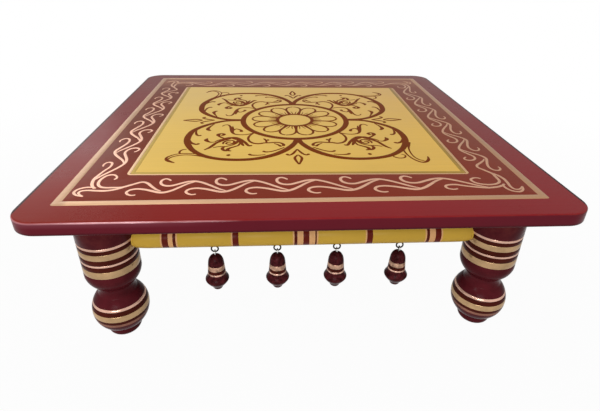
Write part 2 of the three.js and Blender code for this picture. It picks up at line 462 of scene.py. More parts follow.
def brush_strokes(strokes, base, closed=False, full=1.0, extra=0.0):
    """Raised paint strokes on a level surface, as points and faces. Each stroke is a list of
    (x, y, width) in millimetres, its width times full plus extra; open ends are rounded."""
    points, faces = [], []
    for stroke in strokes:
        spots = [(x, y, width * full + extra) for x, y, width in stroke]
        line = smooth_line(spots, BRUSH_STEP, closed)
        if not closed:
            run = [0.0]
            for p, q in zip(line, line[1:]):
                run.append(run[-1] + (q.xy - p.xy).length)
            for p, d in zip(line, run):
                near = min(d, run[-1] - d)
                cap = p.z / 2
                if near < cap:
                    p.z *= math.sqrt(max(0.0, 1 - (1 - near / cap) ** 2))
        count = len(line)
        faces += tube(count, len(BRUSH_SECTION), len(points), closed)
        for i, p in enumerate(line):
            before, after = held(i - 1, count, closed), held(i + 1, count, closed)
            ahead = (line[after].xy - line[before].xy).normalized()
            half = max(p.z / 2, BRUSH_LEAST)
            rise = min(BRUSH_HEIGHT, BRUSH_SLOPE * half * 2)
            for across, up in BRUSH_SECTION:
                x = p.x - ahead.y * across * half
                y = p.y + ahead.x * across * half
                height = up * rise - (0 if up else BRUSH_SINK)
                points.append(Vector((x * MM, y * MM, base + height * MM)))
    return points, faces


# ------------------------ geometry node trees

def repeating_tree(name, inputs):
    """A geometry tree that takes a motif and its material and gives the repeated motif."""
    inputs = [("Geometry", "Geometry"), *inputs, ("Material", "Material")]
    return node_group("GeometryNodeTree", name, inputs, [("Geometry", "Geometry")])


def copies(points, motif, label, value):
    """Real copies of a motif on points; label says what the value is: Rotation or Scale."""
    inputs = {"Points": points, "Instance": motif, label: value}
    placed = then("GeometryNodeInstanceOnPoints", inputs)[0]
    return then("GeometryNodeRealizeInstances", {0: placed})[0]


def middle_spots(tree, count):
    """Points in the middle of the board, and their numbers."""
    spots = add(tree, "GeometryNodeMeshLine", {"Count": count, "Offset": (0, 0, 0)}).outputs[0]
    return spots, add(tree, "GeometryNodeInputIndex").outputs[0]


def turned_copies(tree, motif, count, turn):
    """Copies of a motif about the Z axis, one every turn."""
    spots, index = middle_spots(tree, count)
    angle = maths("MULTIPLY", index, turn)
    return copies(spots, motif, "Rotation", then("ShaderNodeCombineXYZ", {2: angle})[0])


def painted(tree, geometry, given, out):
    inputs = {"Geometry": geometry, "Material": given["Material"]}
    fill(out["Geometry"], then("GeometryNodeSetMaterial", inputs)[0])
    return tree


def about_the_middle_tree():
    """Repeats a motif round the middle of the board."""
    tree, given, out = repeating_tree("about_the_middle", [("Count", "Int"), ("Turn", "Float")])
    ring = turned_copies(tree, given["Geometry"], given["Count"], given["Turn"])
    return painted(tree, ring, given, out)


def four_quarters_tree():
    """Mirrors a motif into the four quarters of the board."""
    tree, given, out = repeating_tree("four_quarters", [])
    spots, index = middle_spots(tree, 4)
    odd = maths("MODULO", index, 2.0)
    later = maths("FLOOR", maths("DIVIDE", index, 2.0))
    flip_x, flip_y = (maths("MULTIPLY_ADD", share, -2.0, 1.0) for share in (odd, later))
    flips = then("ShaderNodeCombineXYZ", {0: flip_x, 1: flip_y, 2: 1.0})[0]
    return painted(tree, copies(spots, given["Geometry"], "Scale", flips), given, out)


def border_tree():
    """Sets a stroke at each place along one side, stretched to the pitch there, then turns
    the side into the four sides of a border of the given width and depth shares."""
    tree, given, out = repeating_tree("along_four_sides", [
        ("Places", "Object"), ("Width share", "Float"), ("Depth share", "Float"),
    ])
    spots = then("GeometryNodeObjectInfo", {"Object": given["Places"]})["Geometry"]
    stretch = add(tree, "GeometryNodeInputNamedAttribute", {"Name": "stretch"}, data_type="FLOAT")
    scale = then("ShaderNodeCombineXYZ", {0: stretch.outputs[0], 1: 1.0, 2: 1.0})[0]
    side = copies(spots, given["Geometry"], "Scale", scale)
    ring = turned_copies(tree, side, len(SIDES), math.pi / 2)
    shares = {0: given["Width share"], 1: given["Depth share"], 2: 1.0}
    shares = then("ShaderNodeCombineXYZ", shares)[0]
    fitted = then("GeometryNodeTransform", {"Geometry": ring, "Scale": shares})[0]
    return painted(tree, fitted, given, out)


ABOUT_THE_MIDDLE = about_the_middle_tree()
FOUR_QUARTERS = four_quarters_tree()
ALONG_FOUR_SIDES = border_tree()


def grown(name, tree, motif, material, settings=None, shift=(0.0, 0.0)):
    """Puts a motif (points and faces) through a tree and keeps the result as a plain mesh."""
    seed = piece(name + "_motif", *motif, material)
    modifier = seed.modifiers.new(tree.name, "NODES")
    modifier.node_group = tree
    sockets = {s.name: s.identifier for s in tree.interface.items_tree if s.in_out == "INPUT"}
    for label, value in {**(settings or {}), "Material": material}.items():
        modifier[sockets[label]] = value
    seed.update_tag()
    bpy.context.view_layer.update()
    ready = seed.evaluated_get(bpy.context.evaluated_depsgraph_get())
    mesh = bpy.data.meshes.new_from_object(ready)
    bpy.data.objects.remove(seed)
    mesh.transform(Matrix.Translation((shift[0] * MM, shift[1] * MM, 0)))
    stretch = mesh.attributes.get("stretch")
    if stretch:
        mesh.attributes.remove(stretch)
    return mesh_piece(name, mesh, material)


def settle(made, body, slot, *nodes):
    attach(made, body)
    if nodes:
        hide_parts(*nodes)
    return made


def on_board(made):
    return settle(made, "table", "board_lacquer")


# ------------------------ board

EDGE_ROUND, EDGE_STEPS, EDGE_FLAT = 1.8 * MM, 6, 2.5 * MM
CORNER_ROUND, CORNER_STEPS = 30 * MM, 16
# The place near the front left where the lacquer turns orange, and how far that reaches
ORANGE_PLACE, ORANGE_FULL, ORANGE_END = (-0.30, -0.33, TOP), 0.10, 0.26
ORANGE_NOISE, ORANGE_SWAY = (5.0, 3.0), 0.2
BOARD_FRONT, BOARD_BACK = -0.28, 0.28
# Painted shade: dark strips on the top's edges, as distances in from the side and from the back
SHADE_SIDE_STRIP, SHADE_BACK_STRIP, SHADE_BACK_SHARE = (4.6 * MM, 3.2 * MM), (7 * MM, 4 * MM), 0.8
# Bands of the edge, as distances down from the top
TOP_BAND, LIT_BAND = (1.2 * MM, 0.4 * MM), (7.5 * MM, 2 * MM)
LIT_FROM, LIT_TO = -0.17, -0.09
# Painted shade at the foot of the edge faces: its height up from the underside, and how dark it
# gets
FOOT_SHADE_BAND, FOOT_SHADE_SHARE = 4 * MM, 0.75
# The arris highlight: its band down from the top, and where it starts, stops and is gone along x
ARRIS_BAND = (1.9 * MM, 1.4 * MM, 0.3 * MM, 0.1 * MM)
ARRIS_HIGHLIGHT_START, ARRIS_HIGHLIGHT_STOP, ARRIS_HIGHLIGHT_GONE = (-0.26, -0.22), (-0.165, -0.145), (-0.11, -0.07)
ARRIS_HIGHLIGHT_NOISE, ARRIS_HIGHLIGHT_PATCHES = (30.0, 3.0), (0.3, 0.6, 0.6, 1.0)
# How strongly the arris highlight is painted into the colour, and how much glossy coat it gets:
# where it is full, and where it is faint
ARRIS_HIGHLIGHT_PAINT, ARRIS_COAT_SHINE = (0.72, 0.30), (0.85, 0.45)


def rounded_square(half_x, half_y, radius, steps, shift=(0.0, 0.0)):
    corners = ((1, -1, -90), (1, 1, 0), (-1, 1, 90), (-1, -1, 180))
    loop = []
    for sx, sy, start in corners:
        for k in range(steps + 1):
            a = math.radians(start + 90 * k / steps)
            x = sx * (half_x - radius) + radius * math.cos(a)
            y = sy * (half_y - radius) + radius * math.sin(a)
            loop.append((x + shift[0], y + shift[1]))
    return loop


def stacked(levels, closed=False):
    """A solid from loops of equal length, given as (loop, height); a closed one is a ring."""
    points = [Vector((x, y, height)) for loop, height in levels for x, y in loop]
    return points, tube(len(levels), len(levels[0][0]), closed=closed)


def board_colour(tree):
    """Lacquer more orange towards one front corner and browner at the back; painted shade darkens
    the edge faces, strips along the sides and back of the top, and the foot of the edges; lighter
    where light from the left meets the front edge, and a pink painted highlight on the top arris."""
    place = place_in(tree)
    x, y, height = parts_of(place)
    far = then("ShaderNodeVectorMath", {0: place, 1: ORANGE_PLACE}, operation="DISTANCE")[1]
    reach = swayed(far, noise(place, *ORANGE_NOISE), ORANGE_SWAY)
    orange = ranged(reach, ORANGE_FULL, ORANGE_END, 1.0, 0.0)
    top = shaded_along(place, 1, MAROON, BACK_MAROON, BOARD_FRONT, BOARD_BACK)
    top = mixed(orange, top, CORNER_ORANGE)
    # Painted shade: dark strips along the sides and back of the top
    beside = ranged(maths("ABSOLUTE", x), *(HALF_X - d for d in SHADE_SIDE_STRIP))
    behind = ranged(y, *(HALF_Y - d for d in SHADE_BACK_STRIP), 0.0, SHADE_BACK_SHARE)
    top = mixed(maths("MAXIMUM", beside, behind), top, PAINTED_SHADE_MAROON)
    upper = ranged(height, *(TOP - d for d in LIT_BAND))
    lit = maths("MULTIPLY", upper, ranged(x, LIT_FROM, LIT_TO, 1.0, 0.0))
    # Painted shade: the edge faces darker than the top, and darker still at their foot
    foot_shade = ranged(height, UNDERSIDE, UNDERSIDE + FOOT_SHADE_BAND, FOOT_SHADE_SHARE, 0.0)
    edge = mixed(foot_shade, mixed(lit, SHADED_EDGE_MAROON, LIT_EDGE_MAROON), PAINTED_SHADE_MAROON)
    low = ranged(height, *(TOP - d for d in TOP_BAND), 1.0, 0.0)
    # Painted highlight: the top arris painted pink on the left, where it catches the light
    left_mask = left_arris_highlight(place, *ARRIS_HIGHLIGHT_PAINT)
    return mixed(left_mask, mixed(low, top, edge), PAINTED_HIGHLIGHT_PINK)


def left_arris_highlight(place, full, faint):
    """A mask of the top arris where it catches the light, for its painted highlight and its glossy
    coat: full on the left third, faint at its ends, and nothing further right."""
    x, _, height = parts_of(place)
    above = ranged(height, *(TOP - d for d in ARRIS_BAND[:2]))
    below = ranged(height, *(TOP - d for d in ARRIS_BAND[2:]), 1.0, 0.0)
    start = ranged(x, *ARRIS_HIGHLIGHT_START, faint, full)
    stop = ranged(x, *ARRIS_HIGHLIGHT_STOP, full, faint)
    gone = ranged(x, *ARRIS_HIGHLIGHT_GONE, 1.0, 0.0)
    along = maths("MULTIPLY", maths("MINIMUM", start, stop), gone)
    patches = ranged(noise(place, *ARRIS_HIGHLIGHT_NOISE), *ARRIS_HIGHLIGHT_PATCHES)
    strip = maths("MULTIPLY", above, below)
    return maths("MULTIPLY", strip, maths("MULTIPLY", along, patches))


def arris_shine(tree):
    return left_arris_highlight(place_in(tree), *ARRIS_COAT_SHINE)


def make_board():
    lacquer = finish("board_lacquer", board_colour, roughness=0.30, clouds_and_reflections=0.22, grain=0.10,
                     specular=0.047, wear=0.5, coat=arris_shine)

    def ring(inwards, height):
        halves = HALF_X - inwards, HALF_Y - inwards
        return rounded_square(*halves, CORNER_ROUND - inwards, CORNER_STEPS), height

    flat = EDGE_ROUND + EDGE_FLAT
    shares = quarter_round(EDGE_STEPS)
    levels = [ring(flat, UNDERSIDE)]
    levels += [ring(EDGE_ROUND * inwards, UNDERSIDE + EDGE_ROUND * up) for inwards, up in shares]
    levels += [ring(EDGE_ROUND * inwards, TOP - EDGE_ROUND * up) for inwards, up in shares[::-1]]
    levels.append(ring(flat, TOP))
    settle(piece("board_plate", *stacked(levels), lacquer), "table", "board_lacquer", "board")


# ------------------------ painted lines and panel

# The painter's middle, in millimetres from the board's
PAINT_SHIFT = (-1.0, -0.9)
# How far the painter's corners stray from square, in millimetres: front left, front right,
# back left, back right
PANEL_STRAY = ((-3.0, 5.0), (-0.5, -2.5), (1.0, 3.0), (2.6, -2.0))
LINE_STRAY = ((0.9, 0.0), (-2.4, 0.0), (1.8, 0.0), (0.0, 0.0))
# Boxes are (low x, high x, low y, high y) in millimetres, set out as on the original
LINE_OUTER = (-274.9, 276.6, -270.4, 277.4)
LINE_INNER = (-265.6, 267.3, -261.0, 267.4)
GROUND_OUTER = (-268.0, 269.7, -263.5, 270.0)
GROUND_INNER = (-206.0, 202.5, -198.0, 199.5)
PANEL_OUTER = (-212.3, 208.6, -203.7, 201.5)
PANEL_MIDDLE = (-208.4, 204.7, -200.8, 200.2)
PANEL_INNER = (-203.3, 199.6, -195.6, 198.9)
PANEL_RISE, PANEL_CORNER = 0.08, 0.5
PAINT_SOFT, PAINT_SINK = 0.5, 0.1
# The least corner radius of a line's inner side, and of its crown
LEAST_CORNER, LEAST_CROWN = 0.2, 0.3
GROUND_FRONT, GROUND_FAR = (0.178, 0.022, 0.009, 1), (0.215, 0.068, 0.030, 1)
GROUND_LEFT, GROUND_RIGHT = (0.130, 0.018, 0.0, 1), (0.168, 0.028, 0.004, 1)
# Left and right colour of the panel, in front and behind
PANEL_YELLOWS = (((0.67, 0.435, 0.088, 1), (0.62, 0.375, 0.064, 1)),
                 ((0.60, 0.40, 0.112, 1), (0.57, 0.335, 0.078, 1)))
# Full and shaded colour of each paint, for its painted sheen
GOLD_PAINT = ((0.66, 0.40, 0.23, 1), (0.35, 0.18, 0.088, 1))
PALE_PAINT = ((0.74, 0.49, 0.28, 1), (0.42, 0.24, 0.10, 1))
DULL_PAINT = ((0.46, 0.31, 0.06, 1), (0.27, 0.155, 0.018, 1))
SCROLL_PAINT = ((0.90, 0.52, 0.37, 1), (0.44, 0.225, 0.125, 1))
RUBBED_BROWN, STROKE_EDGE = (0.05, 0.01, 0.01, 1), (0.055, 0.006, 0.001, 1)
# The painted sheen fades along x plus a share of y, swayed by a noise; then what is added behind,
# and what is worn off on the far left (from, to, share there, share further in)
SHEEN_SLANT, SHEEN_NOISE, SHEEN_SWAY = 0.6, (14.0, 3.0), 0.12
SHEEN_REACH, SHEEN_POWER = (-0.32, 0.2), 0.7
BEHIND_REACH, RUBBED_LEFT = (-0.12, 0.15), (-0.264, -0.258, 0.3, 0.0)
# How high above the top a stroke's dark edge ends and its own colour is full
STROKE_EDGE_ENDS = (0.07 * MM, 0.13 * MM)
# Where the ground's and the panel's colours change, across the board and towards the back
ACROSS, PANEL_BACK = (-0.2, 0.2), (-0.05, 0.2)
GROUND_MIDDLE, GROUND_BACK = (-0.25, 0.0), (0.20, 0.24)


def strayed(points, box, stray):
    """Moves points so that the corners of a box stray as listed."""
    for p in points:
        s = (p.x / MM - box[0]) / (box[1] - box[0])
        t = (p.y / MM - box[2]) / (box[3] - box[2])
        shares = ((1 - s) * (1 - t), s * (1 - t), (1 - s) * t, s * t)
        for share, (dx, dy) in zip(shares, stray):
            p.x += share * dx * MM
            p.y += share * dy * MM


def box_loop(box, radius, steps=6):
    halves = (box[1] - box[0]) / 2 * MM, (box[3] - box[2]) / 2 * MM
    middle_x = ((box[0] + box[1]) / 2 + PAINT_SHIFT[0]) * MM
    middle_y = ((box[2] + box[3]) / 2 + PAINT_SHIFT[1]) * MM
    return rounded_square(*halves, radius * MM, steps, (middle_x, middle_y))


def grown_box(box, by):
    return (box[0] - by, box[1] + by, box[2] - by, box[3] + by)


def frame_line(outer, inner, radius, rise, box, stray):
    """A square ring of paint on the board, between two boxes."""
    within = radius - (outer[1] - inner[1])
    outside = box_loop(outer, radius)
    crown_out = box_loop(grown_box(outer, -PAINT_SOFT), max(radius - PAINT_SOFT, LEAST_CROWN))
    crown_in = box_loop(grown_box(inner, PAINT_SOFT), max(within + PAINT_SOFT, LEAST_CROWN))
    inside = box_loop(inner, max(within, LEAST_CORNER))
    sunk, risen = TOP - PAINT_SINK * MM, TOP + rise * MM
    points, faces = stacked([
        (outside, sunk), (outside, TOP), (crown_out, risen),
        (crown_in, risen), (inside, TOP), (inside, sunk),
    ], closed=True)
    strayed(points, box, stray)
    return points, faces


def painted_sheen(full, shaded_colour, behind=0.0):
    """Paint at its full colour at the front left of the board and darker towards the back right, as
    painted sheen from the light on the left; darker still behind the middle, and worn along the far
    left."""
    def build(tree):
        place = place_in(tree)
        x, y, _ = parts_of(place)
        # Painted sheen: the paint lighter towards the front left, where the light falls
        spot = swayed(x, noise(place, *SHEEN_NOISE), SHEEN_SWAY)
        spot = maths("MULTIPLY_ADD", y, SHEEN_SLANT, spot)
        share = maths("POWER", ranged(spot, *SHEEN_REACH), SHEEN_POWER)
        if behind:
            back = ranged(y, *BEHIND_REACH, 0.0, behind)
            share = maths("MINIMUM", maths("ADD", share, back), 1.0)
        left_mask = ranged(x, *RUBBED_LEFT)
        return mixed(left_mask, mixed(share, full, shaded_colour), RUBBED_BROWN)
    return build


def outlined(colour):
    """A raised stroke, dark along its edges where it rises least."""
    def build(tree):
        share = ranged(parts_of(place_in(tree))[2], *(TOP + d for d in STROKE_EDGE_ENDS))
        return mixed(share, STROKE_EDGE, colour(tree))
    return build


def ground_colour(tree):
    """Maroon under the scroll, browner behind and on the left, redder on the right."""
    place = place_in(tree)
    back = shaded_along(place, 0, GROUND_LEFT, GROUND_RIGHT, *ACROSS)
    back = shaded_along(place, 1, back, GROUND_FAR, *GROUND_BACK)
    return shaded_along(place, 1, GROUND_FRONT, back, *GROUND_MIDDLE)


def yellow_colour(tree):
    """The panel's yellow, paler on the left and duller towards the back."""
    place = place_in(tree)
    front, back = (shaded_along(place, 0, *pair, *ACROSS) for pair in PANEL_YELLOWS)
    return shaded_along(place, 1, front, back, *PANEL_BACK)


def make_lines():
    gold = finish("gold_paint", painted_sheen(*GOLD_PAINT), metallic=0.4, roughness=0.38,
                  clouds_and_reflections=0.3, grain=0.25, specular=0.10)
    pale = finish("pale_gold_paint", painted_sheen(*PALE_PAINT), metallic=0.2, roughness=0.42,
                  clouds_and_reflections=0.3, grain=0.2, specular=0.10)
    dull = finish("dull_gold_paint", painted_sheen(*DULL_PAINT), metallic=0.1, roughness=0.40,
                  clouds_and_reflections=0.35, grain=0.25, specular=0.08)
    yellow = finish("panel_yellow", yellow_colour, roughness=0.36, clouds_and_reflections=0.16, grain=0.16,
                    stretch=PANEL_GRAIN, specular=0.085)
    ground = finish("border_maroon", ground_colour, roughness=0.32, clouds_and_reflections=0.3, grain=0.14,
                    specular=0.034)
    border, panel = (LINE_OUTER, LINE_STRAY), (PANEL_OUTER, PANEL_STRAY)
    for name, outer, inner, radius, rise, paint, strays in (
        ("border_ground", GROUND_OUTER, GROUND_INNER, 1.0, 0.04, ground, border),
        ("border_line", LINE_OUTER, LINE_INNER, 3.0, 0.2, gold, border),
        ("panel_pale_line", PANEL_OUTER, PANEL_MIDDLE, 5.5, 0.2, pale, panel),
        ("panel_dull_line", PANEL_MIDDLE, PANEL_INNER, 3.0, 0.14, dull, panel),
    ):
        on_board(piece(name, *frame_line(outer, inner, radius, rise, *strays), paint))
    loop = box_loop(PANEL_INNER, PANEL_CORNER, 4)
    points, faces = stacked([(loop, TOP - PAINT_SINK * MM), (loop, TOP + PANEL_RISE * MM)])
    strayed(points, *panel)
    on_board(piece("panel_field", points, faces, yellow))


# Scroll border: (x from the curl's left edge, height from the border's middle line, width)
UPPER_CURL = [
    (12.6, 16.8, 2), (9.8, 20.4, 2.4), (5.2, 22.6, 2.7), (1.4, 19.9, 3), (0.3, 14.8, 3),
    (1.9, 9.6, 3.1), (6.2, 5.6, 3.2), (11.8, 4.2, 3.3), (17.6, 5.4, 3.4), (25.8, 10, 3.5),
    (34.7, 14.4, 3.5), (43.6, 15.2, 3.5), (52.4, 11.8, 3.4), (61.3, 5.9, 3.2), (68.7, 0.3, 3),
    (76.1, -5.2, 2.6), (84, -9, 1),
]
LOWER_CURL = [
    (13.6, -16.4, 2), (7.9, -17.4, 2.4), (2.7, -14.6, 2.8), (0.3, -10.3, 3), (2.2, -5.6, 3.1),
    (6.9, -3, 3.2), (13.6, -2.4, 3.3), (22.4, -4.4, 3.4), (31.3, -7.9, 3.6), (41.6, -11.6, 3.8),
    (49, -10.8, 3.8), (56.4, -6.4, 3.6), (63.8, 0.5, 3.4), (69.7, 6.4, 3), (75.6, 11, 2.6),
    (83, 14.4, 1),
]
# (place along the side, stretch) of each curl; the painter's pitch grows along the side
UPPER_PLACES = [(-165.5, 0.906), (-102.9, 0.994), (-33.0, 1.033), (41.8, 1.062), (113.7, 1.15)]
LOWER_PLACES = [(-197.2, 0.87), (-133.1, 0.915), (-67.6, 0.975), (2.1, 1.053), (77.8, 1.062)]
BORDER_MIDDLE = 232.4
BORDER_WIDTH_SHARE = 1.026
SCROLL_FULL = 1.55
FOUR_TURNS = {"Count": 4, "Turn": math.pi / 2}
# Strokes that turn the front left corner, from the end of the left side to the front one
CORNER_STROKES = [
    [(-220.1, -210.5, 2), (-217.3, -207.7, 2.3), (-217, -203, 2.5), (-220.1, -198.2, 2.8),
     (-224.8, -197.3, 2.9), (-230.2, -200.1, 3), (-233.9, -206.7, 3), (-235.2, -214.3, 3),
     (-233.5, -222.8, 3), (-229.3, -228.4, 3), (-223.8, -230.6, 3), (-215.9, -230.8, 3.2),
     (-205.8, -230.4, 3.4), (-197.2, -224.9, 3.4), (-187.1, -218, 3.2), (-179.9, -220.5, 3.2),
     (-172.7, -229.4, 3), (-166.3, -236.7, 2.4), (-160.3, -240.7, 1.2)],
    [(-244, -173.7, 2), (-245.6, -168.5, 2.4), (-243.7, -162.5, 2.6), (-239.3, -160.6, 2.8),
     (-234.9, -164, 2.8), (-233.9, -173.7, 3), (-236.8, -182.5, 3), (-239.8, -192, 3),
     (-242.7, -205.8, 3.4), (-242.4, -215, 3.4), (-239.8, -224.5, 3.2), (-234.4, -233, 2.4)],
    [(-232.9, -232.5, 2), (-237.8, -229.3, 2.4), (-245.9, -230, 2.8), (-252, -234.6, 2.8),
     (-253.3, -241.8, 2.8), (-248.3, -247.8, 2.4), (-239.8, -251.3, 1.2)],
    [(-199.8, -227, 1.2), (-205.7, -232.2, 2.4), (-212.5, -236, 3.2), (-221.2, -238.2, 3.4),
     (-231, -237.8, 3.2), (-240.3, -236.6, 2.8), (-246.6, -238.2, 2.6), (-248, -242.5, 2.4),
     (-245.2, -246.8, 2), (-240, -250.6, 1.2)],
]
# Along the left and right sides, in millimetres: further out than SIDE_FROM the scroll narrows
# to NARROW_SHARE of its width, about a middle that moves (from, to). Over CORNER_SPAN it widens
# again, to its full width at CORNER_FROM from the table's middle
SIDE_FROM, CORNER_FROM, CORNER_SPAN, NARROW_SHARE = 200, 214, 20, 0.86
LEFT_MIDDLES, RIGHT_MIDDLES = (-237.0, -239.0), (234.9, 235.7)


def places_object(name, places):
    """Loose points along the front side, each with the stretch of the stroke set there."""
    mesh = bpy.data.meshes.new(name)
    mesh.from_pydata([(x * MM, -BORDER_MIDDLE * MM, 0) for x, _ in places], [], [])
    stretch = mesh.attributes.new("stretch", "FLOAT", "POINT")
    stretch.data.foreach_set("value", [s for _, s in places])
    return in_scene(name, mesh)


def narrowed(mesh):
    """The painter kept the scroll narrower along the two sides than along front and back."""
    for vertex in mesh.vertices:
        x, y = vertex.co.x / MM, abs(vertex.co.y) / MM
        if abs(x) > SIDE_FROM:
            share = min(max((CORNER_FROM - y) / CORNER_SPAN, 0), 1)
            now, aim = LEFT_MIDDLES if x < 0 else RIGHT_MIDDLES
            vertex.co.x += share * (aim + (x - now) * NARROW_SHARE - x) * MM


def make_scroll():
    paint = finish("scroll_paint", outlined(painted_sheen(*SCROLL_PAINT, behind=0.30)), metallic=0.3,
                   roughness=0.40, clouds_and_reflections=0.4, grain=0.25, specular=0.10)
    for name, stroke, places in (("scroll_upper", UPPER_CURL, UPPER_PLACES),
                                 ("scroll_lower", LOWER_CURL, LOWER_PLACES)):
        spots = places_object(name + "_places", places)
        settings = {"Places": spots, "Width share": BORDER_WIDTH_SHARE, "Depth share": 1.0}
        motif = brush_strokes([stroke], TOP, full=SCROLL_FULL)
        made = grown(name, ALONG_FOUR_SIDES, motif, paint, settings, PAINT_SHIFT)
        narrowed(made.data)
        bpy.data.objects.remove(spots)
        on_board(made)
    motif = brush_strokes(CORNER_STROKES, TOP, full=SCROLL_FULL)
    made = grown("scroll_corners", ABOUT_THE_MIDDLE, motif, paint, FOUR_TURNS)
    made.data.transform(Matrix.Diagonal((BORDER_WIDTH_SHARE, 1, 1, 1)))
    made.data.transform(Matrix.Translation((PAINT_SHIFT[0] * MM, PAINT_SHIFT[1] * MM, 0)))
    narrowed(made.data)
    on_board(made)


# ------------------------ medallion on the panel

THREE_TURNS = {"Count": 3, "Turn": -math.pi / 2}
MEDALLION_SHIFT = (-2.6, -0.4)
# How far each finial sits from its place on a cross, in millimetres: front, right, back, left
FINIAL_STRAY = (-2.6, 4.6, 3.0, -7.2)
PETALS = 13
# The two rings round the flower: radius and width in millimetres, and how many points
LARGE_RING, SMALL_RING = (84, 10.5, 48), (28.3, 6.6, 32)
# One quarter, front left: (x, y, width) in millimetres from the medallion's middle
LOBE = [
    [(-86.6, -1.7, 4), (-97.7, -1.9, 4.2), (-106.5, -2.7, 4.6), (-114.3, -4.7, 5),
     (-123.2, -9.4, 5.6), (-130.9, -15.1, 6), (-142, -25.5, 6.4), (-151.5, -37.7, 7),
     (-157.6, -50.4, 7.8), (-160, -64.8, 8.8), (-160.5, -78.1, 9.2), (-158.9, -92.6, 8.6),
     (-154.4, -107, 7.8), (-147, -122.5, 7), (-135.4, -137.1, 6.6), (-122.1, -147.5, 6.2),
     (-106.5, -153.9, 6), (-91, -156.7, 6.2), (-75.5, -156.9, 6.4), (-61.1, -154.7, 6.8),
     (-47.8, -149.7, 7.6), (-33.3, -140.5, 8.4), (-21.1, -128.3, 8.8), (-12.3, -115.8, 8.2),
     (-6.7, -104.8, 7.2), (-3.4, -95.9, 6.4), (-2.1, -86.5, 6)],
]
